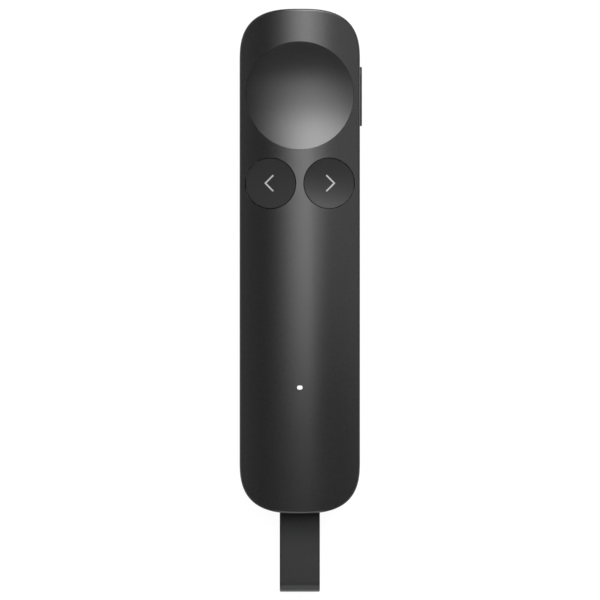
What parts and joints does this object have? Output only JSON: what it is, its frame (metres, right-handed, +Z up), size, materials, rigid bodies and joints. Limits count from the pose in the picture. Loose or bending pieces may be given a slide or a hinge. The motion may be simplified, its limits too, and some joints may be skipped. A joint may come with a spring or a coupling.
{
  "type": "wireless presentation clicker",
  "caption": "Slim hand-held slide remote: concave thumb dish, two round page keys, a side key, a status light and a tail-docked dongle with a pull loop.",
  "frame": {"origin": "centre of the flat underside that the clicker lies on", "axes": "+Z up through the keys, +Y to the dish end, -Y to the tail with the pull loop, +X to the side key"},
  "size_m": [0.0305, 0.1453, 0.013],
  "materials": {
    "graphite_shell": "fine satin texture",
    "dish_satin": "satin with a faint sheen",
    "key_plastic": "matte",
    "frame_plastic": "as moulded",
    "foam_black": "open foam",
    "spring_steel": "drawn wire",
    "board_laminate": "solder mask",
    "lit_white": "clear, lit",
    "switch_metal": "stamped cover",
    "plunger_plastic": "moulded",
    "tin_plate": "tin plated",
    "chip_black": "epoxy",
    "battery_foil": "laminated foil",
    "lead_red": "wire insulation",
    "connector_white": "moulded",
    "screw_steel": "zinc plated",
    "dongle_plastic": "matte",
    "loop_rubber": "soft-touch rubber"
  },
  "bodies": {
    "housing": {"top_shell": "graphite_shell", "bottom_shell": "graphite_shell", "key_frame": "frame_plastic", "dish_springs": "spring_steel", "main_board": "board_laminate", "dish_switch": "switch_metal", "back_switch": "switch_metal", "next_switch": "switch_metal", "side_switch": "switch_metal", "status_led": "lit_white", "light_pipe": "lit_white", "antenna": "tin_plate", "radio_shield": "tin_plate", "board_chips": "chip_black", "battery": "battery_foil", "battery_pad": "foam_black", "battery_leads": "lead_red", "battery_connector": "connector_white", "haptic_motor": "tin_plate", "motor_pad": "foam_black", "charge_port": "tin_plate", "port_tongue": "chip_black", "dock_sleeve": "frame_plastic", "frame_screws": "screw_steel", "board_screws": "screw_steel"},
    "dish": {"dish_button": "dish_satin", "dish_plunger": "plunger_plastic"},
    "back_key": {"back_button": "key_plastic", "back_plunger": "plunger_plastic"},
    "next_key": {"next_button": "key_plastic", "next_plunger": "plunger_plastic"},
    "side_key": {"side_button": "key_plastic", "side_plunger": "plunger_plastic"},
    "receiver": {"receiver_upper": "dongle_plastic", "receiver_lower": "dongle_plastic", "receiver_plug": "tin_plate", "receiver_board": "board_laminate", "receiver_chip": "chip_black", "loop_pin": "screw_steel", "pull_loop": "loop_rubber"}
  },
  "joints": [
    {"name": "dish_press", "type": "slide", "parent": "housing", "child": "dish", "axis": [0, 0, -1], "range_m": [0, 0.0004], "stiffness_N_per_m": 1000, "springref_m": -0.001, "deforming": ["dish_springs"]},
    {"name": "back_press", "type": "slide", "parent": "housing", "child": "back_key", "axis": [0, 0, -1], "range_m": [0, 0.0004], "stiffness_N_per_m": 1000, "springref_m": -0.001},
    {"name": "next_press", "type": "slide", "parent": "housing", "child": "next_key", "axis": [0, 0, -1], "range_m": [0, 0.0004], "stiffness_N_per_m": 1000, "springref_m": -0.001},
    {"name": "side_press", "type": "slide", "parent": "housing", "child": "side_key", "axis": [-1, 0, 0], "range_m": [0, 0.0003], "stiffness_N_per_m": 1000, "springref_m": -0.001},
    {"name": "receiver_pull", "type": "slide", "parent": "housing", "child": "receiver", "axis": [0, -1, 0], "range_m": [0, 0.025]}
  ]
}
